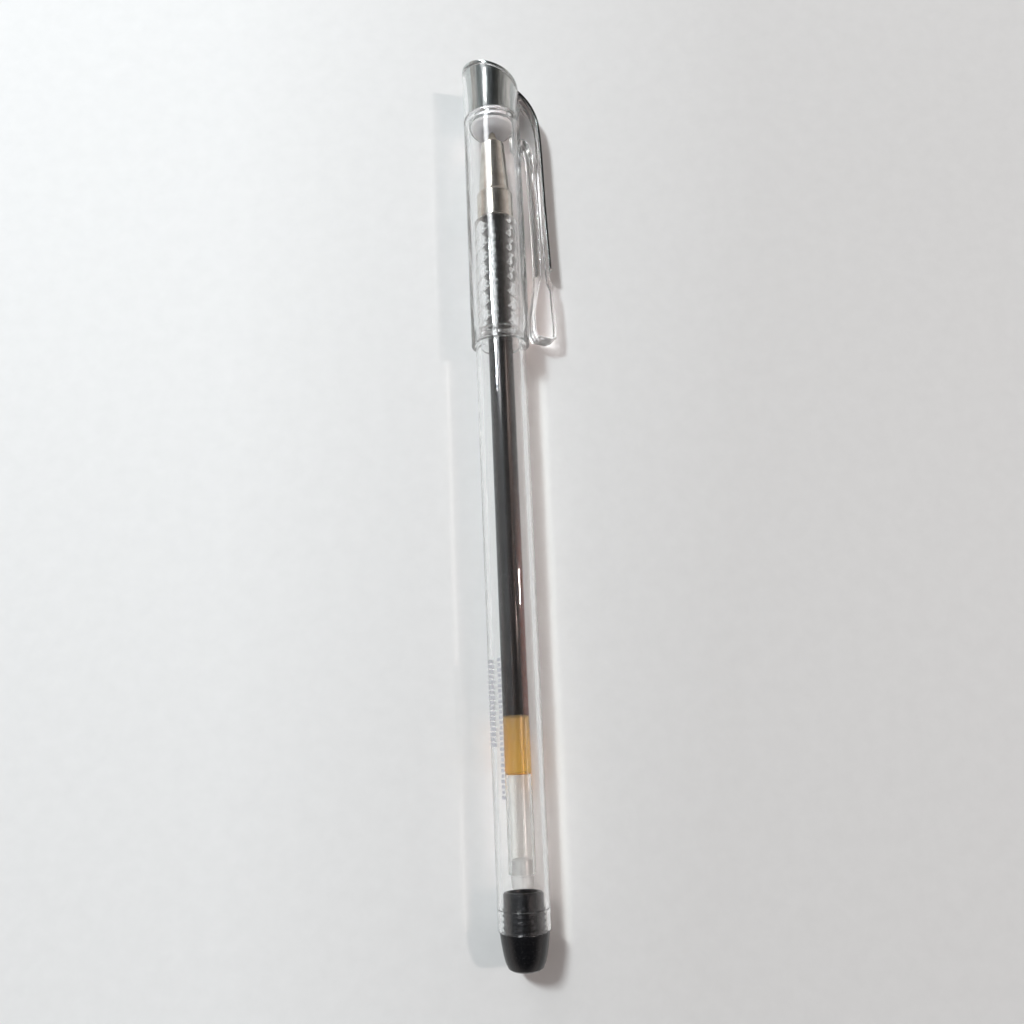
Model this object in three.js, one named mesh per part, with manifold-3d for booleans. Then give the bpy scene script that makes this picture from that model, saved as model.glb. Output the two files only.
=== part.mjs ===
// A clear capped gel pen lying on its side, in millimetres, +Z up.
// The pen's axis runs along Y: the writing end and the cap point to +Y, the tail plug to -Y.
// Stations are distances from the tail tip. The origin is on the floor, under the middle of the
// pen's length and of its width over the clip.
// The clip hangs a little below the horizontal on the +X side, so its lower edge meets the floor.
import * as THREE from 'three';
import { mergeVertices } from 'three/addons/utils/BufferGeometryUtils.js';
import Module from 'manifold-3d';

const wasm = await Module();
wasm.setup();

// ---------- driving dimensions ----------
const PEN_LENGTH = 148.3;
const SIDES = 48;                 // facets round the large pieces
const FINE_SIDES = 24;            // facets round the small pieces
const GAP = 0.25;                 // clearance between pieces that touch

const CAP_RADIUS = 4.9;
const CAP_BORE = 4.35;
const CAP_MOUTH = 96.8;           // station of the cap's open end
const LEDGE_START = 137.4;        // inner ledge that carries the seal
const LEDGE_END = 138.9;
const LEDGE_BORE = 2.85;
const SEAL_RADIUS = 3.74;
const SEAL_STEM = 2.6;
const SEAL_FACE = 136.8;          // faces the writing tip
const SEAL_END = 140.8;
const CROWN_FOOT = 3.65;          // the crown insert's plug widens from its foot
const CROWN_RADIUS = 4.1;
const CROWN_WIDE = 146;
const PLATE_THICKNESS = 0.45;     // plated lid and strip

const CLIP_WIDTH = 3.8;
const CLIP_REACH = 9.75;          // clip's outer face to the pen's axis, at the free end
const CLIP_END = 99.3;
const CLIP_HINGE_STATION = 136;
const STRIP_END = 109.2;

const BARREL_RADIUS = 4.15;
const BARREL_BORE = 3.3;
const BARREL_REAR = 5.4;
const SHOULDER = 98.6;            // barrel steps down to the grip here
const GRIP_RADIUS = 3.82;
const GRIP_BORE = 2.35;
const GRIP_END = 119.2;
const SPIGOT_RADIUS = 2.75;
const SPIGOT_END = 123.3;

const PLUG_TIP_RADIUS = 2.95;
const PLUG_COLLAR_RADIUS = 3.95;
const PLUG_INSERT_RADIUS = 3.1;
const PLUG_INSERT_END = 11.1;
const PLUG_HOLLOW_RADIUS = 2.4;

const NOSE_RADIUS = 3.2;
const NOSE_STEP = 124.2;
const NOSE_END = 133.9;
const NOSE_END_RADIUS = 2.05;

const TUBE_RADIUS = 2.05;
const TUBE_BORE = 1.65;
const TUBE_TAIL = 13.5;
const TUBE_FRONT = 121.5;
const INK_FRONT = 119.6;
const FOLLOWER_TAIL = 27.9;
const INK_TAIL = 36.6;
const STOPPER_TAIL = 11.6;

const TIP_RADIUS = 1.15;
const TIP_END = 136.15;
const BALL_RADIUS = 0.35;
const BALL_STATION = 136.2;

const LABEL_START = 24;
const LABEL_END = 45;

// The clip drops until its lower outer edge is level with the underside of the cap:
// reach * sin(drop) + width / 2 * cos(drop) = cap radius.
const CLIP_DROP = Math.asin(CAP_RADIUS / Math.hypot(CLIP_REACH, CLIP_WIDTH / 2))
  - Math.atan(CLIP_WIDTH / 2 / CLIP_REACH);
const CLIP_SIDE = CLIP_REACH * Math.cos(CLIP_DROP) + CLIP_WIDTH / 2 * Math.sin(CLIP_DROP);
const AXIS_X = (CAP_RADIUS - CLIP_SIDE) / 2;

// ---------- helpers ----------
const along = (station) => station - PEN_LENGTH / 2;

// Outline points are [radius, station], anticlockwise with the stations upwards.
function turned(outline, sides = SIDES) {
  const points = outline.map(([radius, station]) => new THREE.Vector2(radius, along(station)));
  return new THREE.LatheGeometry(points, sides);
}

// A closed ring profile: the outline's first point is repeated at its end.
function turnedRing(outline, sides = SIDES) {
  return turned([...outline, outline[0]], sides);
}

// A plate whose outline lies in the clip's plane, [reach, station], centred on that plane.
function plate(outline, width) {
  const shape = new THREE.Shape(outline.map(([reach, station]) => new THREE.Vector2(reach, along(station))));
  const geometry = new THREE.ExtrudeGeometry(shape, { depth: width, bevelEnabled: false });
  geometry.translate(0, 0, -width / 2);
  geometry.rotateY(CLIP_DROP);
  return geometry;
}

function solid(geometry) {
  const bare = geometry.clone();
  bare.deleteAttribute('normal');
  bare.deleteAttribute('uv');
  const merged = mergeVertices(bare, 1e-4);
  return new wasm.Manifold(new wasm.Mesh({
    numProp: 3,
    vertProperties: new Float32Array(merged.attributes.position.array),
    triVerts: new Uint32Array(merged.index.array),
  }));
}

function geometryOf(manifold) {
  const mesh = manifold.getMesh();
  const geometry = new THREE.BufferGeometry();
  geometry.setAttribute('position', new THREE.BufferAttribute(new Float32Array(mesh.vertProperties), 3));
  geometry.setIndex(new THREE.BufferAttribute(new Uint32Array(mesh.triVerts), 1));
  geometry.computeVertexNormals();
  return geometry;
}

const pen = new THREE.Group();

function add(name, geometry, color, roughness, metalness = 0, opacity = 1) {
  const material = new THREE.MeshStandardMaterial({ color, roughness, metalness, opacity });
  material.transparent = opacity < 1;
  const mesh = new THREE.Mesh(geometry, material);
  mesh.name = name;
  mesh.position.set(AXIS_X, 0, CAP_RADIUS);
  pen.add(mesh);
}

// ---------- the crown line: a slope from the cap's far side over the top, then down the clip ----------
const crownLine = new THREE.CatmullRomCurve3([
  new THREE.Vector3(-6, 148.9, 0),
  new THREE.Vector3(-CAP_RADIUS, PEN_LENGTH, 0),
  new THREE.Vector3(-1.5, 147, 0),
  new THREE.Vector3(2.5, 145.6, 0),
  new THREE.Vector3(4.9, 144.3, 0),
  new THREE.Vector3(6.7, 142.4, 0),
  new THREE.Vector3(7.9, 140, 0),
  new THREE.Vector3(8.4, 137.2, 0),
  new THREE.Vector3(8.85, 122, 0),
  new THREE.Vector3(CLIP_REACH, CLIP_END, 0),
], false, 'centripetal');

// The crown line moved inwards by `depth`, as [reach, station] points.
function crownOutline(depth) {
  const steps = 64;
  return Array.from({ length: steps + 1 }, (_, i) => {
    const point = crownLine.getPoint(i / steps);
    const tangent = crownLine.getTangent(i / steps);
    return [point.x + tangent.y * depth, point.y - tangent.x * depth];
  });
}

// Everything under the crown line, which is carried straight on past the clip's free end.
function underCrown(depth, width = 14) {
  const line = crownOutline(depth);
  const far = line[0];
  const end = line[line.length - 1];
  return solid(plate([[-8, 90], [end[0], 90], ...line.reverse(), [-8, far[1]]], width));
}

// A block over the clip between two stations.
function clipBlock(low, high, width) {
  return solid(plate([[2, low], [12, low], [12, high], [2, high]], width));
}

// ---------- cap ----------
const SKIN = PLATE_THICKNESS + GAP;

function capShell() {
  const bottom = CAP_MOUTH - 1;
  const pocket = CROWN_RADIUS + GAP;
  const pocketFoot = CROWN_FOOT + GAP;
  const rootStart = CLIP_HINGE_STATION + GAP;
  const tube = solid(turned([[0, CAP_MOUTH], [CAP_RADIUS, CAP_MOUTH], [CAP_RADIUS, 152], [0, 152]]));
  const root = solid(plate([
    [2, 134.6], [5.6, 134.6], [6.4, 135.4], [6.7, rootStart], [9.5, rootStart], [9.5, 150], [2, 150],
  ], CLIP_WIDTH));
  const hollow = solid(turned([
    [0, bottom], [CAP_BORE, bottom], [CAP_BORE, LEDGE_START], [LEDGE_BORE, LEDGE_START],
    [LEDGE_BORE, LEDGE_END], [pocketFoot, LEDGE_END], [pocket, CROWN_WIDE], [pocket, 153], [0, 153],
  ]));
  return geometryOf(tube.add(root).intersect(underCrown(SKIN)).subtract(hollow));
}

function crownInsert() {
  const plugStart = LEDGE_END + GAP;
  const plug = solid(turned([
    [0, plugStart], [CROWN_FOOT, plugStart], [CROWN_RADIUS, CROWN_WIDE], [CROWN_RADIUS, 152], [0, 152],
  ]));
  const disc = solid(turned([[0, 130], [CAP_RADIUS, 130], [CAP_RADIUS, 152], [0, 152]]));
  const tongue = clipBlock(CLIP_HINGE_STATION + GAP, 151, CLIP_WIDTH);
  const lid = disc.add(tongue).subtract(underCrown(PLATE_THICKNESS));
  const socket = solid(turned([[0, 130], [LEDGE_BORE, 130], [LEDGE_BORE, 143.5], [0, 143.5]]));
  return geometryOf(plug.add(lid).intersect(underCrown(0)).subtract(socket));
}

// Clip arm: a slim bar from the root, which thickens to a gripping boss at its free end.
function clipArm() {
  const top = CLIP_HINGE_STATION - GAP;
  const blank = solid(plate([
    [6.2, 98.9], [CLIP_REACH - 0.8, 98.7], [12, CLIP_END], [12, top], [6.75, top],
    [6.5, 134], [6.6, 130], [7.05, 120], [7.1, 109], [6.3, 105.6], [5.6, 102.4], [5.65, 100],
  ], CLIP_WIDTH));
  const recess = clipBlock(STRIP_END - GAP, 150, CLIP_WIDTH + 2).subtract(underCrown(SKIN));
  return geometryOf(blank.intersect(underCrown(0)).subtract(recess));
}

function trimStrip() {
  const face = clipBlock(STRIP_END, CLIP_HINGE_STATION - GAP, CLIP_WIDTH).intersect(underCrown(0));
  return geometryOf(face.subtract(underCrown(PLATE_THICKNESS)));
}

// Soft disc that faces the writing tip, with a stem through the ledge into the crown's socket.
function capSeal() {
  const back = LEDGE_START - GAP;
  return turned([
    [0, SEAL_FACE], [SEAL_RADIUS - 0.15, SEAL_FACE], [SEAL_RADIUS, SEAL_FACE + 0.12],
    [SEAL_RADIUS, back], [SEAL_STEM, back], [SEAL_STEM, SEAL_END], [0, SEAL_END],
  ], 36);
}

// ---------- barrel ----------
function barrel() {
  return turnedRing([
    [BARREL_BORE + 0.15, BARREL_REAR], [BARREL_RADIUS, BARREL_REAR], [BARREL_RADIUS, SHOULDER - 0.4],
    [BARREL_RADIUS - 0.15, SHOULDER], [GRIP_RADIUS, SHOULDER + 0.3], [GRIP_RADIUS, GRIP_END - 0.4],
    [GRIP_RADIUS - 0.4, GRIP_END], [SPIGOT_RADIUS, GRIP_END], [SPIGOT_RADIUS, SPIGOT_END],
    [GRIP_BORE, SPIGOT_END], [GRIP_BORE, SHOULDER + 1.2], [BARREL_BORE, SHOULDER - 1],
    [BARREL_BORE, 8.5], [BARREL_BORE + 0.15, 8.5],
  ]);
}

// A film round one eighth of the barrel, over the side away from the clip.
function barrelLabel() {
  const facet = (2 * Math.PI) / SIDES;
  const outline = [
    [BARREL_RADIUS + 0.08, LABEL_START], [BARREL_RADIUS + 0.18, LABEL_START],
    [BARREL_RADIUS + 0.18, LABEL_END], [BARREL_RADIUS + 0.08, LABEL_END],
  ];
  const film = solid(turnedRing(outline));
  const corner = (turn) => new THREE.Vector2(-12 * Math.cos(turn), -12 * Math.sin(turn));
  const wedge = new THREE.Shape([new THREE.Vector2(0, 0), corner(-9 * facet), corner(-3 * facet)]);
  const sector = new THREE.ExtrudeGeometry(wedge, { depth: 60, bevelEnabled: false });
  sector.rotateX(Math.PI / 2);
  sector.translate(0, along(LABEL_START) + 50, 0);
  return geometryOf(film.intersect(solid(sector)));
}

// Tapered plug: a rounded black end outside, and a hollow insert with two ribs inside the barrel.
function endPlug() {
  const rib = PLUG_INSERT_RADIUS + 0.12;
  const collar = BARREL_REAR - GAP;
  return turned([
    [0, 0], [PLUG_TIP_RADIUS - 0.5, 0], [PLUG_TIP_RADIUS, 0.35], [3.5, 2], [3.8, 3.8], [PLUG_COLLAR_RADIUS, collar],
    [PLUG_INSERT_RADIUS, collar], [PLUG_INSERT_RADIUS, 6.6], [rib, 6.8], [PLUG_INSERT_RADIUS, 7],
    [PLUG_INSERT_RADIUS, 7.6], [rib, 7.8], [PLUG_INSERT_RADIUS, 8], [PLUG_INSERT_RADIUS, PLUG_INSERT_END - 0.2],
    [PLUG_INSERT_RADIUS - 0.2, PLUG_INSERT_END], [PLUG_HOLLOW_RADIUS, PLUG_INSERT_END],
    [PLUG_HOLLOW_RADIUS, 5], [0, 5],
  ]);
}

// ---------- nose ----------
function noseCone() {
  const threadBore = SPIGOT_RADIUS + 0.08;
  return turnedRing([
    [threadBore, GRIP_END + GAP], [NOSE_RADIUS, GRIP_END + GAP], [NOSE_RADIUS, NOSE_STEP],
    [2.8, NOSE_STEP + 0.35], [NOSE_END_RADIUS, NOSE_END], [1.45, NOSE_END], [1.45, 131.2],
    [2.2, 127.4], [2.3, SPIGOT_END + GAP], [threadBore, SPIGOT_END + GAP],
  ], 36);
}

// ---------- refill ----------
function refillTube() {
  return turnedRing([
    [TUBE_BORE, TUBE_TAIL], [TUBE_RADIUS, TUBE_TAIL], [TUBE_RADIUS, TUBE_FRONT], [TUBE_BORE, TUBE_FRONT],
  ], 36);
}

const FILL_RADIUS = TUBE_BORE - 0.08;

function inkColumn() {
  return turned([[0, INK_TAIL], [FILL_RADIUS, INK_TAIL], [FILL_RADIUS, INK_FRONT], [0, INK_FRONT]], 36);
}

function inkFollower() {
  const top = INK_TAIL - 0.1;
  return turned([[0, FOLLOWER_TAIL], [FILL_RADIUS, FOLLOWER_TAIL], [FILL_RADIUS, top], [0, top]], 36);
}

function tailStopper() {
  const collar = TUBE_TAIL - 0.15;
  return turned([
    [0, STOPPER_TAIL], [1.65, STOPPER_TAIL], [1.75, collar], [FILL_RADIUS, collar],
    [FILL_RADIUS, 16], [0, 16],
  ], 36);
}

// Joins the ink tube to the metal tip: a spigot in the tube, a collar, and a taper inside the nose.
function tipConnector() {
  const spigot = INK_FRONT + 0.2;
  const collar = TUBE_FRONT + 0.15;
  return turnedRing([
    [0.6, spigot], [FILL_RADIUS, spigot], [FILL_RADIUS, collar], [TUBE_RADIUS, collar],
    [TUBE_RADIUS, 126.4], [1.3, 130.9], [1.3, 132.4], [TIP_RADIUS + 0.05, 132.4],
    [TIP_RADIUS + 0.05, 129.5], [0.6, 129.5],
  ], FINE_SIDES);
}

function tipBody() {
  const seat = BALL_RADIUS + 0.04;
  return turnedRing([
    [0.22, 129.6], [TIP_RADIUS, 129.6], [TIP_RADIUS, 134.2], [0.95, 134.4], [0.5, TIP_END],
    [seat, TIP_END], [seat, 135.7], [0.22, 135.5],
  ], FINE_SIDES);
}

function ballSpring() {
  return turned([[0, 130.2], [0.14, 130.2], [0.14, 135.3], [0, 135.7]], 12);
}

function tipBall() {
  const ball = new THREE.SphereGeometry(BALL_RADIUS, 16, 10);
  ball.translate(0, along(BALL_STATION), 0);
  return ball;
}

// ---------- the pen ----------
add('barrel', barrel(), '#eef1f2', 0.05, 0, 0.3);
add('barrel_label', barrelLabel(), '#c9c8d6', 0.5);
add('end_plug', endPlug(), '#121214', 0.25);
add('refill_tube', refillTube(), '#dcdad4', 0.35, 0, 0.5);
add('ink_column', inkColumn(), '#161616', 0.3);
add('ink_follower', inkFollower(), '#c08a3a', 0.3);
add('refill_tail_stopper', tailStopper(), '#d9d7d2', 0.6);
add('tip_connector', tipConnector(), '#d8d6d0', 0.5);
add('tip_body', tipBody(), '#b9b4a6', 0.25, 1);
add('ball_spring', ballSpring(), '#c8c8c8', 0.3, 1);
add('tip_ball', tipBall(), '#8f9194', 0.15, 1);
add('nose_cone', noseCone(), '#c9c7c2', 0.18, 1);
add('cap_shell', capShell(), '#eef1f2', 0.05, 0, 0.3);
add('cap_clip', clipArm(), '#eef1f2', 0.05, 0, 0.3);
add('crown_insert', crownInsert(), '#a9abad', 0.15, 1);
add('clip_trim_strip', trimStrip(), '#a9abad', 0.15, 1);
add('cap_seal', capSeal(), '#c3c2cf', 0.5, 0, 0.6);

export default pen;
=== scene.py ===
"""Looks of a clear capped gel pen that lies on a pale table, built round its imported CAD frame.

Lengths along the pen are stations: millimetres from the tail tip, towards the cap.
Radii and reaches are millimetres from the pen's axis. Everything is placed in metres from the frame.
"""
import math

import bmesh
import bpy
import numpy as np
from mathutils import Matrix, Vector


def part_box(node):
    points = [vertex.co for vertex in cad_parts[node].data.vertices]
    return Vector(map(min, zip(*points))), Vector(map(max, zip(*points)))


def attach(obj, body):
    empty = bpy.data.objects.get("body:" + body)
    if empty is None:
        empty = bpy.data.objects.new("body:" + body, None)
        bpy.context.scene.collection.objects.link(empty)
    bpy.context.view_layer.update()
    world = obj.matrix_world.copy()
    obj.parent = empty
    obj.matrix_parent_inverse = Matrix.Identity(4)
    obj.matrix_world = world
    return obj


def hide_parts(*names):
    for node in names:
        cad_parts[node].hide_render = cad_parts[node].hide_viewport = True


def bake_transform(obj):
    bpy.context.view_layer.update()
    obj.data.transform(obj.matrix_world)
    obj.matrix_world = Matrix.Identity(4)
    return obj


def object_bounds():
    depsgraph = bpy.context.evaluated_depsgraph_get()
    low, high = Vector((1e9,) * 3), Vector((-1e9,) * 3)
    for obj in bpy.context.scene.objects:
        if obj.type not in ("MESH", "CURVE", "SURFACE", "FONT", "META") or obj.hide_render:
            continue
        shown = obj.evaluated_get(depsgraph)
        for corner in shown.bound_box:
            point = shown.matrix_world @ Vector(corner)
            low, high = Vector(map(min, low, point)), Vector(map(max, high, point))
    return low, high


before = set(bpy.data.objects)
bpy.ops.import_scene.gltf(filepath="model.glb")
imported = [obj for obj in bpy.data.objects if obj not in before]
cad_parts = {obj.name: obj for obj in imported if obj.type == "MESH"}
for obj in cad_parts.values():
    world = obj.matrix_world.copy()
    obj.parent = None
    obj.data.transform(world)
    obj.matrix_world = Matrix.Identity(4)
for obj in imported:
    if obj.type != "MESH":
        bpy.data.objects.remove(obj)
CAD_LOW, CAD_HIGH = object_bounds()

# ---------- sizes, from the frame ----------
MM = 0.001


def middle(node):
    low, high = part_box(node)
    return (low + high) / 2


def radius_of(node):
    low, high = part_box(node)
    return (high.x - low.x) / 2 / MM


TAIL_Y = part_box("end_plug")[0].y
AXIS = Vector((middle("barrel").x, TAIL_Y, middle("barrel").z))


def station_of(node, end):
    """Station of a node's tail end (0) or front end (1)."""
    return (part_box(node)[end].y - TAIL_Y) / MM


CAP_RADIUS = (CAD_HIGH.z - CAD_LOW.z) / 2 / MM
CAP_WALL = 0.62
CAP_BORE = CAP_RADIUS - CAP_WALL
CAP_MOUTH = station_of("cap_shell", 0)
PEN_TOP = station_of("crown_insert", 1)
LEDGE_START = 137.4
LEDGE_END = 138.9
LEDGE_BORE = 2.85
CROWN_FOOT = 3.65                 # the crown's plug widens from its foot
CROWN_RADIUS = 4.15
PLATE = 0.42                      # thickness of the plated lid and strip

BARREL_RADIUS = radius_of("barrel")
BARREL_WALL = 0.85
BARREL_BORE = BARREL_RADIUS - BARREL_WALL
BARREL_REAR = station_of("barrel", 0)
DRAFT = 0.15                      # how much slimmer the barrel is at its rear
SHOULDER = 98.6
GRIP_RADIUS = BARREL_RADIUS - 0.33
GRIP_BORE = 2.35
NOSE_GAP = 0.25                   # clearance between the nose and the ends that it screws against
GRIP_END = station_of("nose_cone", 0) - NOSE_GAP
SPIGOT_RADIUS = 2.75
SPIGOT_END = station_of("barrel", 1)

NOSE_RADIUS = radius_of("nose_cone")
NOSE_STEP = 124.2
NOSE_END = station_of("nose_cone", 1)

TUBE_RADIUS = radius_of("refill_tube")
TUBE_WALL = 0.4
TUBE_BORE = TUBE_RADIUS - TUBE_WALL
TUBE_TAIL = station_of("refill_tube", 0)
TUBE_FRONT = station_of("refill_tube", 1)
INK_TAIL = station_of("ink_column", 0)
INK_FRONT = station_of("ink_column", 1)
FOLLOWER_TAIL = station_of("ink_follower", 0)

CLIP_WIDTH = 3.8
CLIP_END = station_of("cap_clip", 0)
STRIP_END = station_of("clip_trim_strip", 0)
CLIP_REACH = 9.75
# The clip hangs below the horizontal until its lower edge is level with the cap's underside.
CLIP_CORNER = math.hypot(CLIP_REACH, CLIP_WIDTH / 2)
CLIP_DROP = math.asin(CAP_RADIUS / CLIP_CORNER) - math.atan(CLIP_WIDTH / 2 / CLIP_REACH)
CLIP_OUT = Vector((math.cos(CLIP_DROP), 0, -math.sin(CLIP_DROP)))
CLIP_UP = Vector((math.sin(CLIP_DROP), 0, math.cos(CLIP_DROP)))


# ---------- mesh helpers ----------
def at(out, station, up=0.0):
    """A point in metres from its reach towards the clip, its station and its height over the clip's plane."""
    return AXIS + (CLIP_OUT * out + CLIP_UP * up) * MM + Vector((0, station * MM, 0))


def finish_mesh(name, verts, faces, sharp=35):
    mesh = bpy.data.meshes.new(name)
    mesh.from_pydata([tuple(v) for v in verts], [], faces)
    work = bmesh.new()
    work.from_mesh(mesh)
    bmesh.ops.remove_doubles(work, verts=work.verts, dist=1e-7)
    bmesh.ops.recalc_face_normals(work, faces=work.faces)
    work.to_mesh(mesh)
    work.free()
    mesh.polygons.foreach_set("use_smooth", [True] * len(mesh.polygons))
    mesh.set_sharp_from_angle(angle=math.radians(sharp))
    piece = bpy.data.objects.new(name, mesh)
    bpy.context.collection.objects.link(piece)
    return piece


def softened(outline, radius, closed, steps=4):
    """The outline with each corner of more than 12 degrees rounded by a fillet of about the given radius."""
    points = [Vector(p) for p in outline]
    count = len(points)
    result = []
    for i, corner in enumerate(points):
        if not closed and i in (0, count - 1):
            result.append(corner)
            continue
        before = points[i - 1] - corner
        after = points[(i + 1) % count] - corner
        turn = math.pi - before.angle(after)
        if turn < math.radians(12):
            result.append(corner)
            continue
        cut = min(radius * math.tan(turn / 2), before.length * 0.45, after.length * 0.45)
        start = corner + before.normalized() * cut
        end = corner + after.normalized() * cut
        for k in range(steps + 1):
            t = k / steps
            result.append(start * (1 - t) ** 2 + corner * 2 * t * (1 - t) + end * t ** 2)
    return [tuple(p) for p in result]


def lathe(name, outline, soft=0.06, closed=False, sides=144, shape=None, sharp=35):
    """Turns [radius, station] points round the pen's axis. shape(radius, station, turn) may move a point;
    turn is the angle from the clip's direction."""
    points = softened(outline, soft, closed)
    verts = []
    for radius, station in points:
        for j in range(sides):
            turn = 2 * math.pi * j / sides
            r, s = shape(radius, station, turn) if shape else (radius, station)
            verts.append(at(r * math.cos(turn), s, r * math.sin(turn)))
    rows = len(points)
    faces = []
    for i in range(rows if closed else rows - 1):
        for j in range(sides):
            k = (j + 1) % sides
            low, high = i * sides, (i + 1) % rows * sides
            faces.append((low + j, low + k, high + k, high + j))
    return finish_mesh(name, verts, faces, sharp)


def curve_points(knots, steps):
    """A centripetal Catmull-Rom curve through the knots, with so many steps between each two."""
    knots = [np.array(k, float) for k in knots]
    knots = [2 * knots[0] - knots[1], *knots, 2 * knots[-1] - knots[-2]]
    result = []
    for p0, p1, p2, p3 in zip(knots, knots[1:], knots[2:], knots[3:]):
        t1 = np.linalg.norm(p1 - p0) ** 0.5
        t2 = t1 + np.linalg.norm(p2 - p1) ** 0.5
        t3 = t2 + np.linalg.norm(p3 - p2) ** 0.5
        for k in range(steps):
            t = t1 + (t2 - t1) * k / steps
            a1 = p0 * (t1 - t) / t1 + p1 * t / t1
            a2 = p1 * (t2 - t) / (t2 - t1) + p2 * (t - t1) / (t2 - t1)
            a3 = p2 * (t3 - t) / (t3 - t2) + p3 * (t - t2) / (t3 - t2)
            b1 = a1 * (t2 - t) / t2 + a2 * t / t2
            b2 = a2 * (t3 - t) / (t3 - t1) + a3 * (t - t1) / (t3 - t1)
            result.append(b1 * (t2 - t) / (t2 - t1) + b2 * (t - t1) / (t2 - t1))
    return np.array([*result, knots[-2]])


# The slanted crown line in the clip's plane: over the cap's top and down the clip's outer face.
CROWN_LINE = curve_points([
    (-6, PEN_TOP + 0.6), (-CAP_RADIUS, PEN_TOP), (-1.5, PEN_TOP - 1.3), (2.5, PEN_TOP - 2.7),
    (4.9, PEN_TOP - 4), (6.7, PEN_TOP - 5.9), (7.9, PEN_TOP - 8.3), (8.4, PEN_TOP - 11.1),
    (8.85, PEN_TOP - 26.3), (CLIP_REACH, CLIP_END),
], 16)


def crown_line(depth):
    """The crown line moved inwards by depth."""
    tangent = np.gradient(CROWN_LINE, axis=0)
    tangent /= np.linalg.norm(tangent, axis=1)[:, None]
    return CROWN_LINE + np.stack([tangent[:, 1], -tangent[:, 0]], axis=1) * depth


def crown_station(reach, depth):
    line = crown_line(depth)
    return float(np.interp(reach, line[:, 0], line[:, 1]))


def slab(name, outline, half_width, rounding, shape=None, rows=5):
    """An outline in the clip's plane, [reach, station], with thickness across it and rounded long edges."""
    points = np.array(outline, float)
    tangent = np.roll(points, -1, axis=0) - np.roll(points, 1, axis=0)
    tangent /= np.linalg.norm(tangent, axis=1)[:, None]
    inward = np.stack([-tangent[:, 1], tangent[:, 0]], axis=1)
    turns = [math.pi / 2 * k / rows for k in range(rows + 1)]
    edge = [(half_width - rounding * (1 - math.sin(a)), rounding * (1 - math.cos(a))) for a in turns]
    columns = [(-w, inset) for w, inset in reversed(edge)] + edge
    verts = []
    for width, inset in columns:
        for x, s in points + inward * inset:
            out, station = shape(x, s, width) if shape else (x, s)
            verts.append(at(out, station, width))
    count = len(points)
    faces = [tuple(range(count)), tuple(range(len(verts) - 1, len(verts) - count - 1, -1))]
    for i in range(len(columns) - 1):
        for j in range(count):
            k = (j + 1) % count
            low, high = i * count, (i + 1) * count
            faces.append((low + j, low + k, high + k, high + j))
    return finish_mesh(name, verts, faces)


# ---------- material helpers ----------
class Nodes:
    """A short hand for building one material's node tree."""

    def __init__(self, name):
        self.material = bpy.data.materials.new(name)
        self.material.use_nodes = True
        self.tree = self.material.node_tree
        self.tree.nodes.clear()
        self.out = self.tree.nodes.new("ShaderNodeOutputMaterial")
        self.place = self.node("ShaderNodeTexCoord").outputs["Object"]

    def node(self, kind, settings=None, **sockets):
        made = self.tree.nodes.new(kind)
        for key, value in (settings or {}).items():
            setattr(made, key, value)
        for key, value in sockets.items():
            self.put(made.inputs[key.replace("_", " ")], value)
        return made

    def put(self, socket, value):
        if isinstance(value, bpy.types.NodeSocket):
            self.tree.links.new(value, socket)
        else:
            socket.default_value = value

    def stretched(self, x, y, z):
        """The object's coordinates in metres, multiplied along each axis."""
        return self.node("ShaderNodeMapping", Vector=self.place, Scale=(x, y, z)).outputs["Vector"]

    def noise(self, vector, scale=1.0, detail=3.0, rough=0.5):
        made = self.node("ShaderNodeTexNoise", Vector=vector, Scale=scale, Detail=detail, Roughness=rough)
        return made.outputs["Fac"]

    def ramp(self, value, low, high, to_low, to_high):
        made = self.node("ShaderNodeMapRange", Value=value)
        ends = {"From Min": low, "From Max": high, "To Min": to_low, "To Max": to_high}
        for key, number in ends.items():
            made.inputs[key].default_value = number
        return made.outputs["Result"]

    def maths(self, operation, first, second=0.0):
        made = self.node("ShaderNodeMath", {"operation": operation})
        self.put(made.inputs[0], first)
        self.put(made.inputs[1], second)
        return made.outputs[0]

    def mix(self, factor, first, second):
        made = self.node("ShaderNodeMix", {"data_type": "RGBA"})
        self.put(made.inputs[0], factor)
        self.put(made.inputs[6], first)
        self.put(made.inputs[7], second)
        return made.outputs[2]

    def bump(self, height, distance, strength=1.0):
        made = self.node("ShaderNodeBump", Height=height, Distance=distance, Strength=strength)
        return made.outputs["Normal"]

    def principled(self, **sockets):
        return self.node("ShaderNodeBsdfPrincipled", **sockets).outputs["BSDF"]

    def surface(self, shader):
        self.tree.links.new(shader, self.out.inputs["Surface"])
        return self.material

    def lets_lamps_through(self, shader, clear, edge, start=0.0, end=1.0, bounced=False):
        """Shadow rays pass through, tinted clear where they meet the wall square on and edge where they
        graze it: the tint turns from start to end, on a scale from 0, square on, to 1, grazing.

        Where bounced is set, what a matt surface sees through the wall is passed in the same way, so that
        the wall throws no second, focused light on it."""
        facing = self.node("ShaderNodeLayerWeight", Blend=0.35).outputs["Facing"]
        tint = self.mix(self.ramp(facing, start, end, 0, 1), clear, edge)
        passing = self.node("ShaderNodeBsdfTransparent", Color=tint).outputs[0]
        path = self.node("ShaderNodeLightPath").outputs
        passes = path["Is Shadow Ray"]
        if bounced:
            passes = self.maths("MAXIMUM", passes, path["Is Diffuse Ray"])
        made = self.node("ShaderNodeMixShader")
        self.put(made.inputs[0], passes)
        self.put(made.inputs[1], shader)
        self.put(made.inputs[2], passing)
        return self.surface(made.outputs[0])


def grey(value, alpha=1.0):
    return (value, value, value, alpha)


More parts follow.
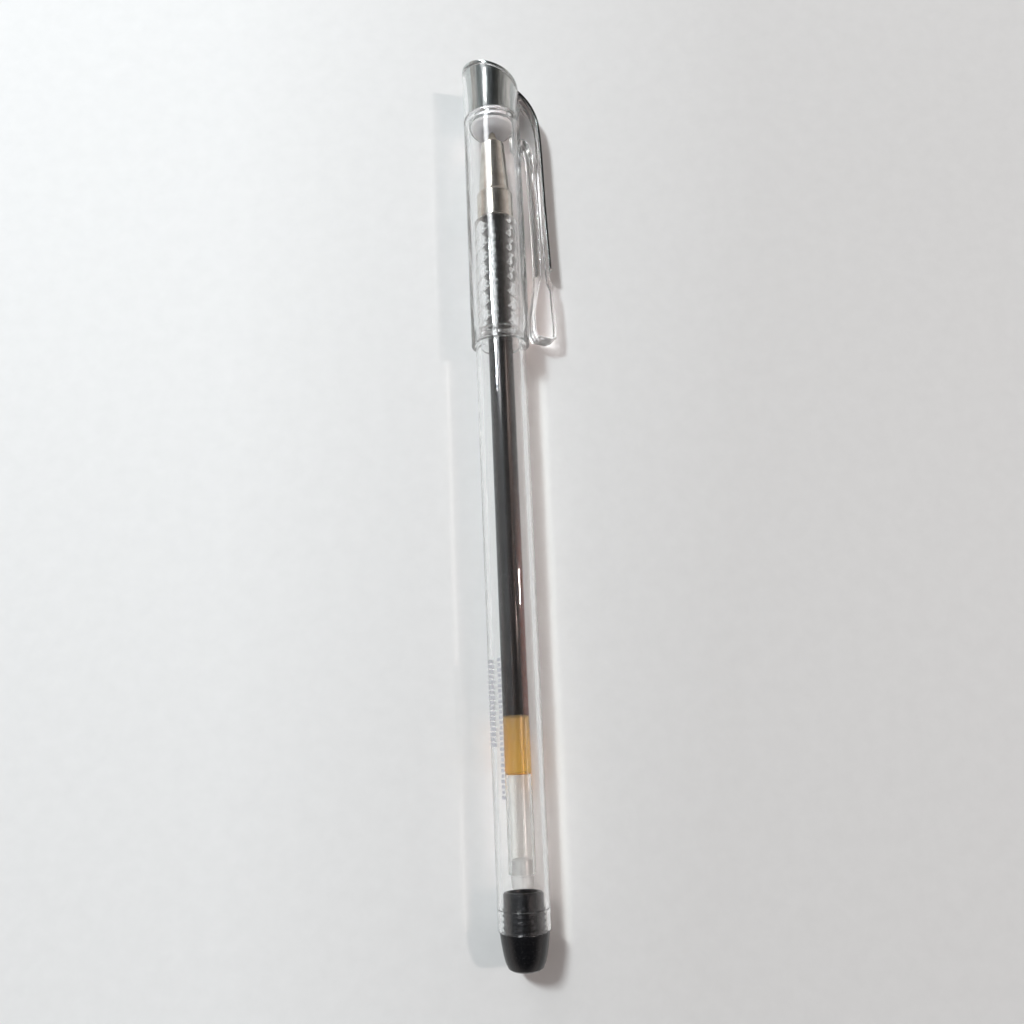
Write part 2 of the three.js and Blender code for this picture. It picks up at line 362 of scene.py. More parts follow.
# ---------- materials ----------
def clear_plastic(name, middle_shade, edge_shade, start, end):
    """Polished clear polystyrene with faint flow lines along the pen and hairline handling scratches.

    Its wall tints the lamps' light with the middle's shade, and from start to end with the edge's."""
    n = Nodes(name)
    flow = n.noise(n.stretched(900, 25, 900), detail=2)
    scratches = n.noise(n.stretched(5200, 260, 5200), detail=4, rough=0.65)
    haze = n.ramp(scratches, 0.45, 0.75, 0.015, 0.06)
    normal = n.bump(flow, 0.00001, 0.3)
    shader = n.principled(Base_Color=(0.985, 0.992, 0.992, 1), Roughness=haze, Normal=normal)
    shader.node.inputs["IOR"].default_value = 1.58
    shader.node.inputs["Transmission Weight"].default_value = 1.0
    return n.lets_lamps_through(shader, middle_shade, edge_shade, start, end)


def plated_plastic(name, smooth, rough):
    """Vacuum plated plastic: bright, with painted reflection streaks in its colour along the pen but even on
    the lid, and fine dust specks.
    """
    n = Nodes(name)
    waves = n.noise(n.stretched(2300, 50, 2300), detail=3, rough=0.6)
    specks = n.noise(n.stretched(6000, 6000, 6000), detail=3, rough=0.7)
    facing = n.node("ShaderNodeTexCoord").outputs["Normal"]
    lengthwise = n.maths("ABSOLUTE", n.node("ShaderNodeSeparateXYZ", Vector=facing).outputs["Y"])
    streaked = n.ramp(lengthwise, 0.35, 0.7, 1, 0.06)
    # Painted reflection: lighter and darker streaks along the pen in the plating's colour; the same waves
    # also bump the surface.
    painted_reflection_streaks = n.maths("ADD", n.maths("MULTIPLY", n.ramp(waves, 0.35, 0.65, -0.5, 0.5), streaked), 0.5)
    tone = n.mix(painted_reflection_streaks, (0.34, 0.37, 0.36, 1), (0.62, 0.65, 0.64, 1))
    normal = n.bump(waves, 0.00002, n.maths("MULTIPLY", streaked, 0.5))
    shader = n.principled(Base_Color=tone, Metallic=1.0, Roughness=n.ramp(specks, 0.5, 0.8, smooth, rough),
                          Normal=normal)
    return n.surface(shader)


def nose_metal(name):
    """Nickel plated metal, turned: fine rings round the pen's axis."""
    n = Nodes(name)
    rings = n.noise(n.stretched(40, 14000, 40), detail=2)
    stain = n.noise(n.stretched(500, 500, 500), detail=3)
    tone = n.mix(n.ramp(stain, 0.35, 0.65, 0, 1), (0.58, 0.53, 0.47, 1), (0.72, 0.68, 0.62, 1))
    shader = n.principled(Base_Color=tone, Metallic=1.0, Roughness=n.ramp(rings, 0.3, 0.7, 0.11, 0.18),
                          Normal=n.bump(rings, 0.000004, 0.6))
    return n.surface(shader)


def tip_metal(name, low, high):
    """Turned bare metal, from the low to the high tone in fine rings."""
    n = Nodes(name)
    rings = n.noise(n.stretched(60, 20000, 60), detail=2)
    tone = n.mix(n.ramp(rings, 0.35, 0.65, 0, 1), low, high)
    shader = n.principled(Base_Color=tone, Metallic=1.0, Roughness=n.ramp(rings, 0.3, 0.7, 0.22, 0.36),
                          Normal=n.bump(rings, 0.000003, 0.6))
    return n.surface(shader)


def black_plastic(name):
    """Gloss black moulding, with a faint orange peel and worn, dusty patches."""
    n = Nodes(name)
    peel = n.noise(n.stretched(1300, 1300, 1300), detail=2)
    dust = n.noise(n.stretched(4200, 4200, 4200), detail=5, rough=0.7)
    tone = n.mix(n.ramp(dust, 0.55, 0.8, 0, 1), (0.006, 0.006, 0.007, 1), (0.03, 0.029, 0.03, 1))
    shader = n.principled(Base_Color=tone, Roughness=n.ramp(dust, 0.4, 0.75, 0.16, 0.34),
                          Normal=n.bump(peel, 0.00001, 0.4))
    return n.surface(shader)


def tube_plastic(name):
    """Extruded polypropylene: clear with a milky cast and drawn lines along the tube."""
    n = Nodes(name)
    drawn = n.noise(n.stretched(3000, 30, 3000), detail=2)
    milk = n.mix(n.ramp(drawn, 0.35, 0.65, 0, 1), (0.93, 0.93, 0.92, 1), (0.97, 0.97, 0.96, 1))
    shader = n.principled(Base_Color=milk, Roughness=n.ramp(drawn, 0.3, 0.7, 0.04, 0.09),
                          Normal=n.bump(drawn, 0.00001, 0.3))
    shader.node.inputs["IOR"].default_value = 1.49
    shader.node.inputs["Transmission Weight"].default_value = 0.99
    return n.lets_lamps_through(shader, (0.9, 0.9, 0.9, 1), (0.7, 0.7, 0.69, 1), bounced=True)


def gel_ink(name):
    """Black gel against the tube's wall: wet, with a painted reddish brown reflection of the warm lamp along
    the tail's clip side.
    """
    n = Nodes(name)
    gel_streaks_and_reflection = n.noise(n.stretched(1500, 18, 1500), detail=2)
    black = n.mix(n.ramp(gel_streaks_and_reflection, 0.5, 0.75, 0, 1), (0.004, 0.0035, 0.003, 1), (0.034, 0.017, 0.012, 1))
    split = n.node("ShaderNodeSeparateXYZ", Vector=n.place)
    # Painted reflection: the clip's side towards the tail, which faces the warm lamp, is tinted reddish
    # brown.
    side = n.ramp(split.outputs["X"], AXIS.x + 0.9 * MM, AXIS.x + 1.5 * MM, 0, 1)
    tail = n.ramp(split.outputs["Y"], TAIL_Y + 78 * MM, TAIL_Y + 58 * MM, 0, 1)
    painted_reflection = n.maths("MULTIPLY", n.maths("MULTIPLY", side, tail), n.ramp(gel_streaks_and_reflection, 0.3, 0.6, 0.4, 1))
    tone = n.mix(painted_reflection, black, (0.20, 0.045, 0.022, 1))
    shader = n.principled(Base_Color=tone, Roughness=n.ramp(gel_streaks_and_reflection, 0.3, 0.7, 0.12, 0.26),
                          Normal=n.bump(gel_streaks_and_reflection, 0.00001, 0.3))
    return n.surface(shader)


def amber_grease(name):
    """Clear amber follower grease, darker towards the ink."""
    n = Nodes(name)
    along = n.node("ShaderNodeSeparateXYZ", Vector=n.place).outputs["Y"]
    low = TAIL_Y + FOLLOWER_TAIL * MM
    high = TAIL_Y + INK_TAIL * MM
    depth = n.ramp(along, low, high, 0, 1)
    cloud = n.noise(n.stretched(700, 350, 700), detail=3)
    tone = n.mix(n.maths("MULTIPLY", depth, cloud), (0.95, 0.61, 0.11, 1), (0.68, 0.42, 0.17, 1))
    shader = n.principled(Base_Color=tone, Roughness=n.ramp(cloud, 0.3, 0.7, 0.12, 0.22))
    shader.node.inputs["IOR"].default_value = 1.47
    shader.node.inputs["Transmission Weight"].default_value = 0.8
    return n.lets_lamps_through(shader, (0.86, 0.6, 0.3, 1), (0.6, 0.4, 0.2, 1), bounced=True)


def print_ink(name):
    """Thin bluish grey screen print, patchy where it has rubbed off."""
    n = Nodes(name)
    rub = n.noise(n.stretched(2600, 2600, 2600), detail=4, rough=0.6)
    tone = n.mix(n.ramp(rub, 0.35, 0.65, 0, 1), (0.38, 0.37, 0.40, 1), (0.60, 0.59, 0.62, 1))
    shader = n.principled(Base_Color=tone, Roughness=n.ramp(rub, 0.3, 0.7, 0.4, 0.6))
    return n.surface(shader)


def soft_plastic(name):
    """Milky elastomer with a faint lavender cast, which light soaks into."""
    n = Nodes(name)
    cloud = n.noise(n.stretched(700, 700, 700), detail=4)
    tone = n.mix(n.ramp(cloud, 0.35, 0.65, 0, 1), (0.77, 0.78, 0.81, 1), (0.84, 0.85, 0.875, 1))
    shader = n.principled(Base_Color=tone, Roughness=n.ramp(cloud, 0.3, 0.7, 0.35, 0.5),
                          Normal=n.bump(cloud, 0.00002, 0.3))
    shader.node.inputs["Subsurface Weight"].default_value = 1.0
    shader.node.inputs["Subsurface Radius"].default_value = (1, 1, 1)
    shader.node.inputs["Subsurface Scale"].default_value = 1.6 * MM
    return n.lets_lamps_through(shader, grey(0.8), grey(0.6))


def milky_plastic(name, low, high, transmission, rough):
    """Whitish moulded plastic that lets some light through."""
    n = Nodes(name)
    cloud = n.noise(n.stretched(900, 900, 900), detail=4)
    tone = n.mix(n.ramp(cloud, 0.35, 0.65, 0, 1), low, high)
    shader = n.principled(Base_Color=tone, Roughness=n.ramp(cloud, 0.3, 0.7, rough * 0.8, rough * 1.2),
                          Normal=n.bump(cloud, 0.00002, 0.3))
    shader.node.inputs["IOR"].default_value = 1.5
    shader.node.inputs["Transmission Weight"].default_value = transmission
    return n.lets_lamps_through(shader, grey(0.8), grey(0.45))


def table_top(name):
    """A plain pale table with painted shade: its colour is a little darker towards the clip's side and the
    tail.
    """
    n = Nodes(name)
    grain = n.noise(n.stretched(350, 350, 350), detail=6, rough=0.6)
    split = n.node("ShaderNodeSeparateXYZ", Vector=n.place)
    # Painted shade: the lamps' falloff across the table is put into its colour.
    across = n.ramp(split.outputs["X"], -0.05, 0.045, 0.1, 0.95)
    back = n.ramp(split.outputs["Y"], 0.09, -0.09, 0, 0.25)
    pale = n.mix(n.ramp(grain, 0.3, 0.7, 0, 1), (0.90, 0.903, 0.90, 1), (0.93, 0.932, 0.93, 1))
    painted_shade_tone = n.mix(n.ramp(grain, 0.3, 0.7, 0, 1), (0.675, 0.66, 0.65, 1), (0.70, 0.685, 0.675, 1))
    tone = n.mix(n.maths("ADD", across, back), pale, painted_shade_tone)
    shader = n.principled(Base_Color=tone, Roughness=0.62, Normal=n.bump(grain, 0.00002, 0.2))
    return n.surface(shader)


# ---------- barrel ----------
GRIP_ROW = 2.6                    # pitch of the grip's diamonds along the pen
GRIP_ROUND = 6                    # diamonds round the grip
GRIP_DEPTH = 0.09


def grip_relief(station, turn):
    """Depth of the crossing grooves that leave rounded diamonds on the grip."""
    along = (station - SHOULDER) / GRIP_ROW
    around = turn / (2 * math.pi) * GRIP_ROUND
    first = abs((along + around) % 1 - 0.5) * 2
    second = abs((along - around) % 1 - 0.5) * 2
    groove = max(first, second)
    return GRIP_DEPTH * groove ** 7


def make_barrel():
    start, end = SHOULDER + 0.6, GRIP_END - 0.5

    def relief(radius, station, turn):
        if radius < GRIP_RADIUS - 0.01 or not start < station < end:
            return radius, station
        fade = min(1, (station - start) / 0.5, (end - station) / 0.5)
        return radius - grip_relief(station, turn) * fade, station

    rows = 190
    grip = [(GRIP_RADIUS, start + (end - start) * k / rows) for k in range(rows + 1)]
    outline = [
        (BARREL_BORE + 0.15, BARREL_REAR), (BARREL_RADIUS - DRAFT, BARREL_REAR),
        (BARREL_RADIUS, SHOULDER - 0.4), (BARREL_RADIUS - 0.15, SHOULDER), (GRIP_RADIUS, SHOULDER + 0.3),
        *grip,
        (GRIP_RADIUS - 0.4, GRIP_END), (SPIGOT_RADIUS, GRIP_END), (SPIGOT_RADIUS, SPIGOT_END),
        (GRIP_BORE, SPIGOT_END), (GRIP_BORE, SHOULDER + 1.2), (BARREL_BORE, SHOULDER - 1),
        (BARREL_BORE, 8.5), (BARREL_BORE + 0.15, 8.5),
    ]
    return lathe("barrel_body", outline, soft=0.12, closed=True, sides=216, shape=relief, sharp=60)


def make_plug():
    """The tapered plug, with four ribs round its hollow insert."""
    insert, rib_height, rib_pitch = 3.0, 0.18, 0.85
    outline = [
        (0, 0), (2.25, 0), (2.65, 0.27), (3.03, 1.1), (3.25, 2), (3.43, 3), (3.59, 4),
        (3.74, BARREL_REAR - 0.05), (insert, BARREL_REAR),
    ]
    for k in range(4):
        start = 5.9 + rib_pitch * k
        crest = insert + rib_height
        outline += [(insert, start), (crest, start + 0.12), (crest, start + 0.3), (insert, start + 0.42)]
    outline += [(insert, 10.8), (insert - 0.25, 11.1), (2.4, 11.1), (2.3, 5.2), (0, 5)]
    return lathe("end_plug_body", outline, soft=0.12)


# Each row's turn from the pen's top, away from the clip, its first and last station, and its dashes' height.
PRINT_ROWS = [
    (math.radians(62), 32, 46, 2.0),
    (math.radians(34), 24.4, 46, 0.7),
]


def make_print():
    """Two rows of small printed dashes on the barrel, on the side away from the clip: no lettering."""
    pitch, dash, skin, steps = 0.78, 0.5, 0.03, 4
    inner = BARREL_RADIUS - DRAFT / 2 + 0.02
    verts, faces = [], []
    for angle, first, last, height in PRINT_ROWS:
        middle_turn = math.pi / 2 + CLIP_DROP + angle
        for k in range(int((last - first) / pitch)):
            start = first + k * pitch
            tall = height * (1, 0.7, 0.85)[k % 3] / BARREL_RADIUS
            base = len(verts)
            for j in range(steps + 1):
                turn = middle_turn + tall * (j / steps - 0.5)
                corners = ((0, start), (skin, start), (skin, start + dash), (0, start + dash))
                for rise, station in corners:
                    radius = inner + rise
                    verts.append(at(radius * math.cos(turn), station, radius * math.sin(turn)))
            for j in range(steps):
                for i in range(4):
                    low, high = base + j * 4, base + (j + 1) * 4
                    faces.append((low + i, low + (i + 1) % 4, high + (i + 1) % 4, high + i))
            faces.append(tuple(base + i for i in range(4)))
            faces.append(tuple(base + steps * 4 + i for i in reversed(range(4))))
    return finish_mesh("barrel_print", verts, faces)


def make_nose():
    """A collar that screws on the spigot, and a cone whose bore guides the writing tip."""
    bore = SPIGOT_RADIUS + 0.08
    mouth = 1.45
    rear, seat = GRIP_END + NOSE_GAP, SPIGOT_END + NOSE_GAP
    outline = [
        (bore, rear), (NOSE_RADIUS, rear), (NOSE_RADIUS, NOSE_STEP - 0.2),
        (NOSE_RADIUS - 0.3, NOSE_STEP + 0.1), (2.78, NOSE_STEP + 0.6), (2.05, NOSE_END), (mouth, NOSE_END),
        (mouth, 131.2), (2.2, 127.4), (2.3, seat), (bore, seat),
    ]
    return lathe("nose_body", outline, soft=0.1, closed=True)


# ---------- refill ----------
def make_tube():
    outline = [
        (TUBE_BORE, TUBE_TAIL), (TUBE_RADIUS, TUBE_TAIL), (TUBE_RADIUS, TUBE_FRONT), (TUBE_BORE, TUBE_FRONT),
    ]
    return lathe("refill_tube_body", outline, soft=0.08, closed=True, sides=96)


WET = 0.03                        # how far a filling reaches into the tube's wall, so that no air shows


def filling(name, tail, front, tail_bulge, front_bulge):
    """A column that wets the tube's wall, with a meniscus at each end: hollow where its bulge is negative."""
    radius = TUBE_BORE + WET
    steps = 8
    turns = [math.pi / 2 * k / steps for k in range(steps + 1)]
    tail_end = [(radius * math.sin(a), tail - tail_bulge * math.cos(a)) for a in turns]
    front_end = [(radius * math.cos(a), front + front_bulge * math.sin(a)) for a in turns]
    return lathe(name, tail_end + front_end, soft=0, sides=96, sharp=50)


def make_stopper():
    """A tapered stopper, half in the tube and half behind it."""
    snug = TUBE_BORE - 0.05
    outline = [(0, 11.6), (1.6, 11.6), (1.72, 13.4), (snug, 13.4), (snug, 15.6), (0.9, 16), (0, 16)]
    return lathe("tail_stopper_body", outline, soft=0.15, sides=96)


def make_connector():
    """The sleeve that joins the ink tube and the writing tip, with the ink's channel through it."""
    snug = TUBE_BORE - 0.05
    foot, collar = INK_FRONT + 0.1, TUBE_FRONT + 0.1
    outline = [
        (0.6, foot), (snug, foot), (snug, collar), (TUBE_RADIUS, collar), (TUBE_RADIUS, 126.4),
        (1.3, 130.9), (1.3, 132.4), (1.2, 132.4), (1.2, 129.5), (0.6, 129.5),
    ]
    return lathe("tip_connector_body", outline, soft=0.05, closed=True, sides=96)


def make_tip():
    """The turned writing tip, with its ink channel and the ball's seat."""
    seat = radius_of("tip_ball") + 0.04
    channel = 0.22
    end = station_of("tip_body", 1)
    outline = [
        (channel, 129.6), (1.15, 129.6), (1.15, 134.2), (0.95, 134.4), (0.5, end), (seat, end),
        (seat, end - 0.45), (channel, end - 0.65),
    ]
    return lathe("tip_body_turned", outline, soft=0.04, closed=True, sides=72)


def make_ball():
    radius = radius_of("tip_ball")
    centre = (station_of("tip_ball", 0) + station_of("tip_ball", 1)) / 2
    steps = 20
    turns = [math.pi * k / steps for k in range(steps + 1)]
    outline = [(radius * math.sin(a), centre - radius * math.cos(a)) for a in turns]
    return lathe("writing_ball", outline, soft=0, sides=40)


def make_spring():
    """The fine wire spring behind the ball, wound as a helix."""
    coils, wire, radius = 14, 0.035, 0.1
    start, end = station_of("ball_spring", 0), station_of("ball_spring", 1)
    steps, ring = coils * 12, 6
    verts, faces = [], []
    for i in range(steps + 1):
        turn = 2 * math.pi * coils * i / steps
        station = start + (end - start) * i / steps
        for j in range(ring):
            around = 2 * math.pi * j / ring
            r = radius + wire * math.cos(around)
            verts.append(at(r * math.cos(turn), station + wire * math.sin(around), r * math.sin(turn)))
    for i in range(steps):
        for j in range(ring):
            k = (j + 1) % ring
            faces.append((i * ring + j, i * ring + k, (i + 1) * ring + k, (i + 1) * ring + j))
    faces += [tuple(range(ring)), tuple(steps * ring + j for j in reversed(range(ring)))]
    return finish_mesh("ball_spring_coil", verts, faces)


# ---------- cap ----------
def plug_radius(height):
    """Radius of the crown's plug, from its foot (0) to the lid (1)."""
    return CROWN_FOOT + (CROWN_RADIUS - CROWN_FOOT) * height


def make_cap():
    """The cap's tube: a groove outside, a ledge inside, and a pocket for the crown under the slanted top."""
    base = LEDGE_END
    groove = CAP_RADIUS - 0.1

    def slant(radius, station, turn):
        if station <= base:
            return radius, station
        top = crown_station(radius * math.cos(turn), PLATE + 0.03)
        return radius, base + (top - base) * (station - base) / (PEN_TOP - base)

    steps = 6
    play = 0.04
    climb = [base + (PEN_TOP - base) * k / steps for k in range(1, steps + 1)]
    pocket = [(plug_radius(k / steps) + play, s) for k, s in enumerate(climb, 1)]
    outline = [
        (CAP_BORE, CAP_MOUTH), (CAP_RADIUS - 0.05, CAP_MOUTH), (CAP_RADIUS - 0.03, 100), (CAP_RADIUS, 110),
        (CAP_RADIUS, 137.35), (groove, 137.5), (groove, 137.75), (CAP_RADIUS, 137.9), (CAP_RADIUS, base),
        *[(CAP_RADIUS, s) for s in climb], *reversed(pocket),
        (plug_radius(0) + play, base), (LEDGE_BORE, base), (LEDGE_BORE, LEDGE_START), (CAP_BORE, LEDGE_START),
    ]
    return lathe("cap_tube", outline, soft=0.12, closed=True, sides=192, shape=slant)


def make_crown():
    """The plated plug: a hollow cylinder in the cap's pocket, closed by the slanted lid."""
    base = LEDGE_END + 0.25
    under = PEN_TOP - 1

    def slant(radius, station, turn):
        reach = radius * math.cos(turn)
        if station > under:
            low, high = crown_station(reach, PLATE), crown_station(reach, 0)
            return radius, low + (high - low) * (station - under)
        floor = crown_station(reach, PLATE)
        return radius, base + (floor - base) * (station - base) / (under - base)

    bore, depth = 2.85, 5
    inside = [(0, base + depth), (bore - 0.25, base + depth), (bore, base + depth - 0.5), (bore, base)]
    wall = [(plug_radius(k / 3), base + (under - base) * k / 3) for k in range(4)]
    lid = [(CAP_RADIUS, under), *[(CAP_RADIUS * k / 8, PEN_TOP) for k in range(8, -1, -1)]]
    return lathe("crown_plug", [*inside, *wall, *lid], soft=0.08, sides=192, shape=slant)


def clip_outline():
    """The clip's side view, [reach, station], anticlockwise: outer face, gripping boss, slim arm and root."""
    root = 4.4
    step = STRIP_END - 0.15       # where the plated strip ends and the clear face stands proud of its seat
    seat = crown_line(PLATE + 0.02)
    face = crown_line(0)
    outer = [tuple(p) for p in seat if p[0] > root and p[1] > step]
    bare = [tuple(p) for p in face if p[0] > 0 and CLIP_END + 0.3 < p[1] < step]
    boss = [
        (CLIP_REACH - 0.25, CLIP_END - 0.25), (CLIP_REACH - 1.2, CLIP_END - 0.55), (6.3, CLIP_END - 0.3),
        (5.7, CLIP_END + 0.7), (5.6, 102.4), (6.2, 105.6), (6.95, 109.2),
    ]
    arm = [(7.05, 113), (6.95, 120), (6.7, 128), (6.45, 132.5), (5.95, 134.2), (5.2, 134.7)]
    foot = [(root, 134.8), (root, 139), (root, 142)]
    return list(reversed([*outer, *bare, *boss, *arm, *foot]))


def make_clip():
    def seat(out, station, width):
        """Where the root meets the cap's tube it follows the tube's surface."""
        surface = math.sqrt(CAP_RADIUS ** 2 - width ** 2) + 0.01
        return (max(out, surface) if station > 134.5 else out), station

    return slab("clip_moulding", clip_outline(), CLIP_WIDTH / 2, 0.35, shape=seat)


def make_strip():
    """The plated strip along the clip's outer face."""
    start = 4.2
    face = [tuple(p) for p in crown_line(0) if p[0] > start and p[1] > STRIP_END]
    back = [tuple(p) for p in crown_line(PLATE) if p[0] > start and p[1] > STRIP_END]
    return slab("plated_strip", list(reversed([*face, *reversed(back)])), CLIP_WIDTH / 2 - 0.15, 0.08)


def paint_dark_strip_edges(strip, material):
    """The edges along the strip are given black plastic as a painted dark reflection."""
    strip.data.materials.append(material)
    for face in strip.data.polygons:
        if abs(face.normal.dot(CLIP_UP)) > 0.75:
            face.material_index = 1


def make_seal():
    """A soft disc that the writing tip rests against, and a stem through the ledge."""
    face = station_of("cap_seal", 0)
    back = LEDGE_START - 0.1
    disc, stem, stem_end = 3.74, 2.6, 140.8
    outline = [
        (0, face), (disc - 0.24, face), (disc, face + 0.15), (disc, back),
        (stem, back), (stem, stem_end), (0, stem_end),
    ]
    return lathe("seal_disc", outline, soft=0.06, sides=96)


# ---------- the pen ----------
def place(piece, material, body, slot, *nodes):
    """Gives a piece its material and its body, or bakes it in place when given two bodies, and hides its CAD
    nodes. slot is not used.
    """
    piece.data.materials.append(material)
    if isinstance(body, str):
        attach(piece, body)
    else:
        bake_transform(piece)
    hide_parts(*nodes)


# The barrel's wall spreads the light, and its edge gathers it into a bright line beside the pen.
barrel_clear = clear_plastic("clear_polystyrene_barrel", (0.6, 0.565, 0.555, 1), (1.22, 1.22, 1.2, 1),
                             0.36, 0.48)
cap_clear = clear_plastic("clear_polystyrene_cap", (0.65, 0.61, 0.60, 1), (0.50, 0.46, 0.45, 1), 0, 1)
tip = tip_metal("tip_nickel_silver", (0.55, 0.5, 0.4, 1), (0.72, 0.67, 0.56, 1))

place(make_barrel(), barrel_clear, "barrel", "clear_plastic", "barrel")
place(make_print(), print_ink("print_ink"), "barrel", "label_film", "barrel_label")
place(make_plug(), black_plastic("gloss_black"), "plug", "black_plastic", "end_plug")
place(make_nose(), nose_metal("nose_nickel"), "nose", "nose_metal", "nose_cone")
place(make_tube(), tube_plastic("drawn_polypropylene"), "refill", "refill_plastic", "refill_tube")
place(filling("ink_gel", INK_TAIL, INK_FRONT, 0.35, 0), gel_ink("black_gel"),
      "refill", "gel_ink", "ink_column")
place(filling("follower_grease", FOLLOWER_TAIL, INK_TAIL + 0.05, -0.4, -0.35), amber_grease("amber_grease"),
      "refill", "follower_grease", "ink_follower")
place(make_stopper(),
      milky_plastic("stopper_plastic", (0.66, 0.66, 0.65, 1), (0.78, 0.78, 0.77, 1), 0.35, 0.35),
      "refill", "stopper_plastic", "refill_tail_stopper")
place(make_connector(),
      milky_plastic("connector_plastic", (0.78, 0.77, 0.74, 1), (0.88, 0.87, 0.84, 1), 0.3, 0.35),
      "refill", "stopper_plastic", "tip_connector")
place(make_tip(), tip, "refill", "tip_metal", "tip_body")
place(make_spring(), tip, "refill", "tip_metal", "ball_spring")
place(make_ball(), tip_metal("ball_hard_metal", (0.3, 0.3, 0.32, 1), (0.42, 0.42, 0.44, 1)),
      "ball", "ball_metal", "tip_ball")
place(make_cap(), cap_clear, "cap", "clear_plastic", "cap_shell")
place(make_crown(), plated_plastic("plated_crown", 0.06, 0.16), "cap", "plated_plastic", "crown_insert")
place(make_seal(), soft_plastic("seal_plastic"), "cap", "seal_plastic", "cap_seal")
place(make_clip(), cap_clear, ("cap", "clip"), "clear_plastic", "cap_clip")
strip = make_strip()
place(strip, plated_plastic("plated_strip", 0.16, 0.28), ("cap", "clip"), "plated_plastic", "clip_trim_strip")


# ---------- table, light and camera ----------
def make_table():
    half = 1.2
    corners = [(-half, -half, 0), (half, -half, 0), (half, half, 0), (-half, half, 0)]
    table = finish_mesh("table", corners, [(0, 1, 2, 3)])
    table.data.materials.append(table_top("pale_table"))


def area_light(name, direction, distance, size, energy, color, size_y=None):
    """A rectangular lamp in a direction from the pen's middle, which it faces."""
    data = bpy.data.lights.new(name, "AREA")
    data.shape = "RECTANGLE"
    data.size = size
    data.size_y = size_y or size
    data.energy = energy
    data.color = color
    lamp = bpy.data.objects.new(name, data)
    aim = Vector(direction).normalized()
    lamp.location = aim * distance
    lamp.rotation_euler = aim.to_track_quat("Z", "Y").to_euler()
    lamp.visible_transmission = False
    bpy.context.collection.objects.link(lamp)


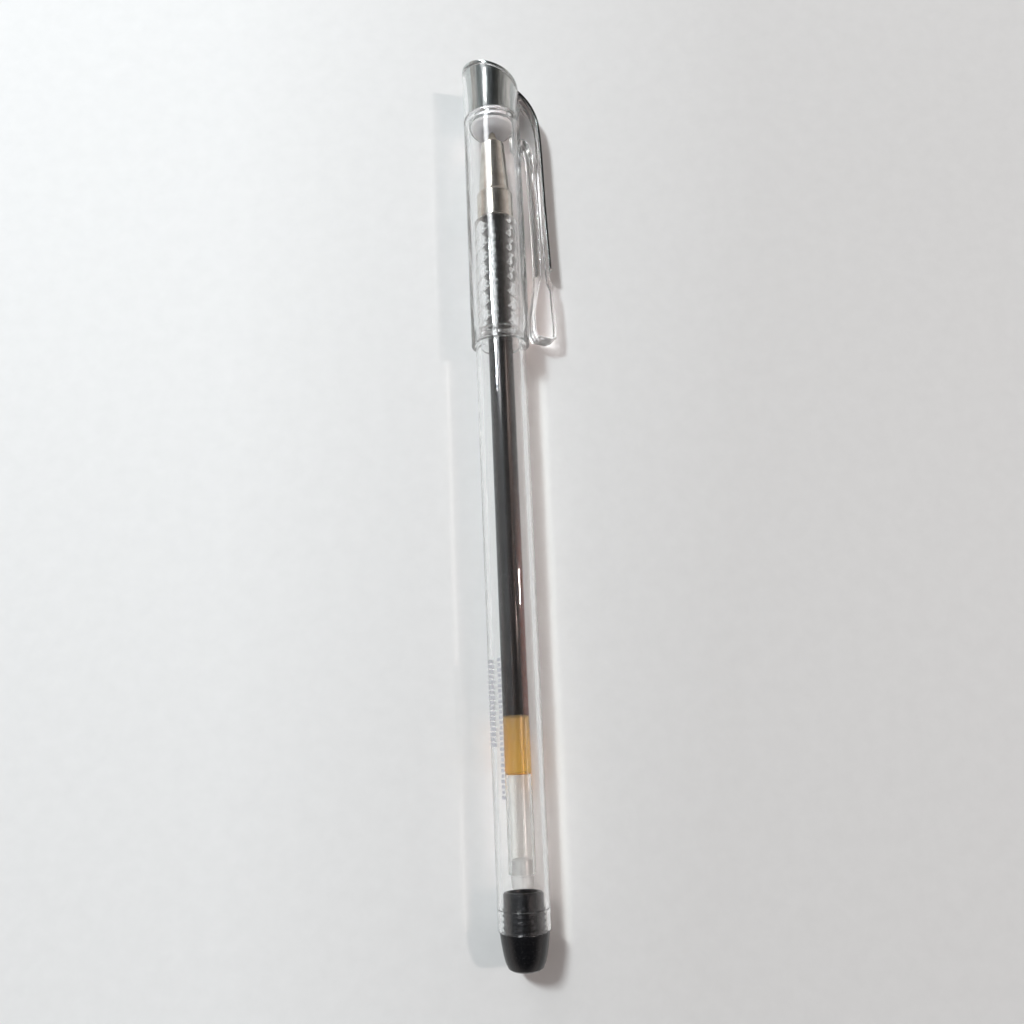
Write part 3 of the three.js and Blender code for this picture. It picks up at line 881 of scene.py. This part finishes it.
def studio_world():
    """Warm pale walls under a dim ceiling, with a long bright panel on the left."""
    world = bpy.data.worlds.new("studio")
    world.use_nodes = True
    tree = world.node_tree
    split = tree.nodes.new("ShaderNodeSeparateXYZ")
    tree.links.new(tree.nodes.new("ShaderNodeTexCoord").outputs["Generated"], split.inputs[0])

    def ramp(axis, stops):
        """Brightness along one axis of the direction, from -1 to 1."""
        spread = tree.nodes.new("ShaderNodeMapRange")
        spread.inputs["From Min"].default_value = -1
        tree.links.new(split.outputs[axis], spread.inputs["Value"])
        made = tree.nodes.new("ShaderNodeValToRGB")
        tree.links.new(spread.outputs["Result"], made.inputs["Fac"])
        elements = made.color_ramp.elements
        elements.remove(elements[1])
        for i, (where, color) in enumerate(stops):
            position = (where + 1) / 2
            stop = elements[0] if i == 0 else elements.new(position)
            stop.position = position
            stop.color = (*color, 1)
        return made.outputs["Color"]

    def joined(kind, first, second, factor=1.0):
        """Two colours mixed, added or multiplied."""
        made = tree.nodes.new("ShaderNodeMix")
        made.data_type = "RGBA"
        made.blend_type = kind
        for socket, value in ((made.inputs[0], factor), (made.inputs[6], first), (made.inputs[7], second)):
            if isinstance(value, bpy.types.NodeSocket):
                tree.links.new(value, socket)
            else:
                socket.default_value = value
        return made.outputs[2]

    def panel(color, across, along, soft):
        """A bright patch between two X and two Y values of the direction, with soft edges."""
        black, white = (0, 0, 0), (1, 1, 1)
        left, right = across
        near, far = along
        lit = ramp("X", [(left - soft, black), (left, color), (right, color), (right + soft, black)])
        kept = ramp("Y", [(near - 2 * soft, black), (near, white), (far, white), (far + soft, black)])
        return joined("MULTIPLY", lit, kept)

    ceiling = ramp("X", [
        (-1, (0.50, 0.51, 0.52)), (-0.75, (0.30, 0.32, 0.33)), (-0.5, (0.26, 0.27, 0.28)),
        (-0.3, (0.36, 0.38, 0.40)), (-0.12, (0.16, 0.17, 0.18)), (0.02, (0.08, 0.08, 0.085)),
        (0.22, (0.05, 0.05, 0.05)), (0.45, (0.1, 0.095, 0.09)), (0.72, (0.33, 0.31, 0.30)),
        (1, (0.55, 0.53, 0.52)),
    ])
    back = ramp("Y", [(-0.4, (0.1, 0.1, 0.1)), (-0.15, (0.4, 0.4, 0.4)), (0.05, (1, 1, 1))])
    height = ramp("Z", [(0.1, (0, 0, 0)), (0.55, (1, 1, 1))])
    room = joined("MIX", (0.76, 0.70, 0.675, 1), joined("MULTIPLY", ceiling, back), height)
    # The panel is brighter in gloss than on the table, as a small lamp behind a large cloth would be.
    mirrored = tree.nodes.new("ShaderNodeMapRange")
    mirrored.inputs["To Min"].default_value = 1
    mirrored.inputs["To Max"].default_value = 2.3
    tree.links.new(tree.nodes.new("ShaderNodeLightPath").outputs["Is Glossy Ray"], mirrored.inputs["Value"])
    bright = panel((2.8, 2.85, 2.9), (-0.4, -0.26), (0.51, 0.8), 0.07)
    lit = joined("ADD", room, joined("MULTIPLY", bright, mirrored.outputs["Result"]))
    tree.links.new(lit, tree.nodes["Background"].inputs["Color"])
    return world


LAMP_DISTANCE = 1.3


def make_light():
    """A cool lamp on the left, a warm weaker one on the clip's side, and the room round them."""
    area_light("key", (-0.5, 0.52, 1), LAMP_DISTANCE, 0.1, 11.3, (0.9, 0.97, 0.995), size_y=0.22)
    area_light("fill", (0.83, 0.07, 1), LAMP_DISTANCE, 0.07, 3.4, (1.0, 0.87, 0.83))
    bpy.context.scene.world = studio_world()


CAMERA_STATION = 40.75
CAMERA_HEIGHT = 147.6             # over the table
CAMERA_ASIDE = -0.43              # from the pen's axis
CAMERA_TILT = 11                  # degrees from straight down, towards the cap
CAMERA_TURN = -2.37               # degrees, in the picture's plane


def make_camera():
    """Over the pen, a quarter of its length from the tail, tilted towards the cap and turned a little."""
    data = bpy.data.cameras.new("camera")
    data.sensor_width = 36
    data.lens = 31.64
    data.clip_start = 0.01
    camera = bpy.data.objects.new("camera", data)
    camera.location = (AXIS.x + CAMERA_ASIDE * MM, TAIL_Y + CAMERA_STATION * MM, CAMERA_HEIGHT * MM)
    camera.rotation_euler = (math.radians(CAMERA_TILT), 0, math.radians(CAMERA_TURN))
    bpy.context.collection.objects.link(camera)
    bpy.context.scene.camera = camera


def allow_bounces(count):
    """Light may cross as many clear walls as there are, one inside the other."""
    cycles = bpy.context.scene.cycles
    cycles.max_bounces = count
    cycles.glossy_bounces = count
    cycles.transmission_bounces = count
    cycles.transparent_max_bounces = count


# Painted dark reflection along the plated strip's edges.
paint_dark_strip_edges(strip, black_plastic("strip_edge_painted_shade"))
make_table()
make_light()
make_camera()
allow_bounces(64)
bpy.context.scene.view_settings.view_transform = "Standard"
